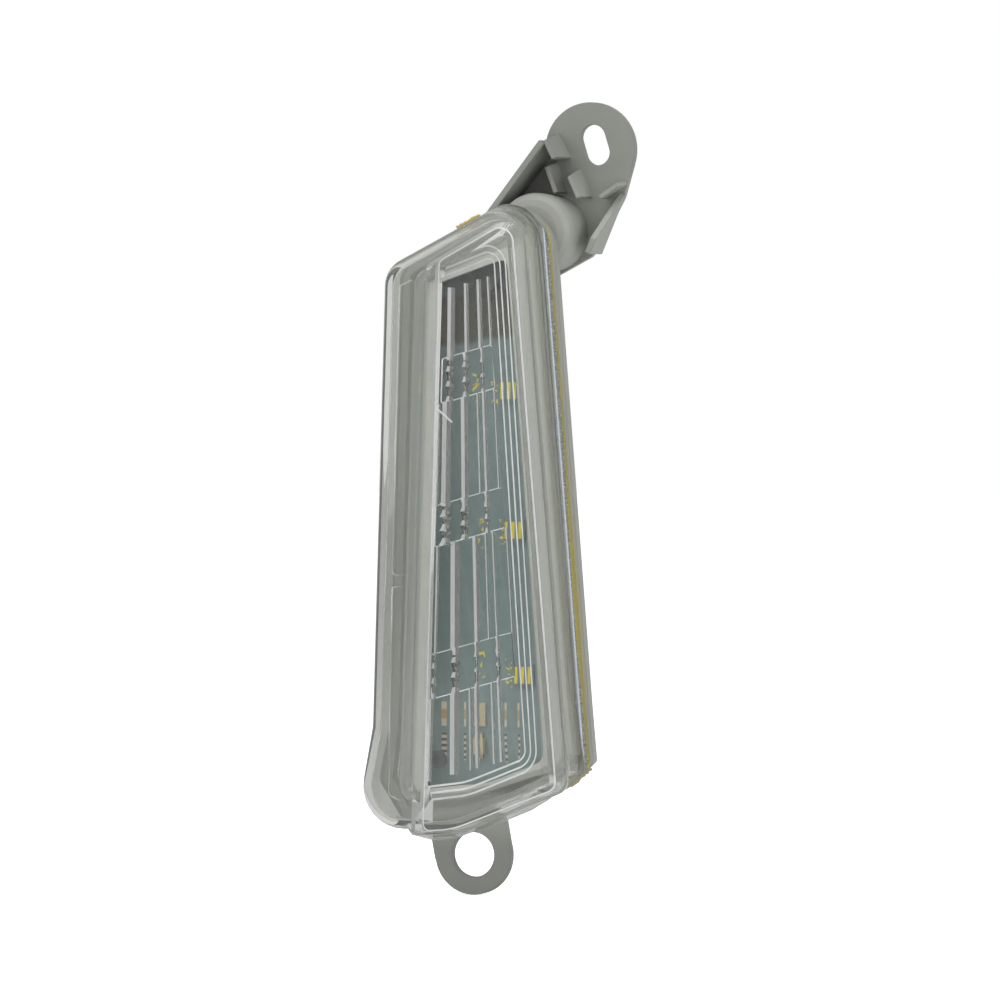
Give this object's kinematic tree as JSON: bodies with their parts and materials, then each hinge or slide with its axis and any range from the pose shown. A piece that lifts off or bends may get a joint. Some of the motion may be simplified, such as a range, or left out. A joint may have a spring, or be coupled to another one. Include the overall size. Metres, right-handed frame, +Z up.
{
  "type": "daytime running light",
  "caption": "Slanted vehicle daytime running light: clear fluted lens on a grey housing with an upper slotted bracket, a lower round ear and a rear connector socket.",
  "frame": {"origin": "centre of the lower mounting hole, on the front face of its ear", "axes": "+Z up along the lamp's length, -Y out of the lens towards the road, +X to the right seen from the road"},
  "size_m": [0.0685, 0.039, 0.2148],
  "materials": {
    "housing": "fine moulded texture",
    "lens": "clear, polished",
    "sealant": "yellowed adhesive with bubbles",
    "board": "solder mask",
    "led_package": "white ceramic-filled moulding",
    "phosphor": "yellow phosphor",
    "chip_resistor": "dark body with tinned ends",
    "chip_capacitor": "ceramic with tinned ends",
    "moulded_body": "moulded epoxy with tinned leads",
    "terminal": "tinned",
    "carrier": "moulded",
    "screw": "zinc plated",
    "vent": "matt"
  },
  "bodies": {
    "root": {"housing": "housing", "lens": "lens", "sealant_bead": "sealant", "circuit_board": "board", "led_upper": "led_package", "led_middle": "led_package", "led_lower": "led_package", "phosphor_upper": "phosphor", "phosphor_middle": "phosphor", "phosphor_lower": "phosphor", "resistor_upper": "chip_resistor", "resistor_lower": "chip_resistor", "filter_capacitor": "chip_capacitor", "protection_diode": "moulded_body", "driver_chip": "moulded_body", "terminal_left": "terminal", "terminal_middle": "terminal", "terminal_right": "terminal", "terminal_carrier": "carrier", "board_screw_upper": "screw", "board_screw_side": "screw", "board_screw_lower": "screw", "breather_vent": "vent"}
  },
  "joints": []
}
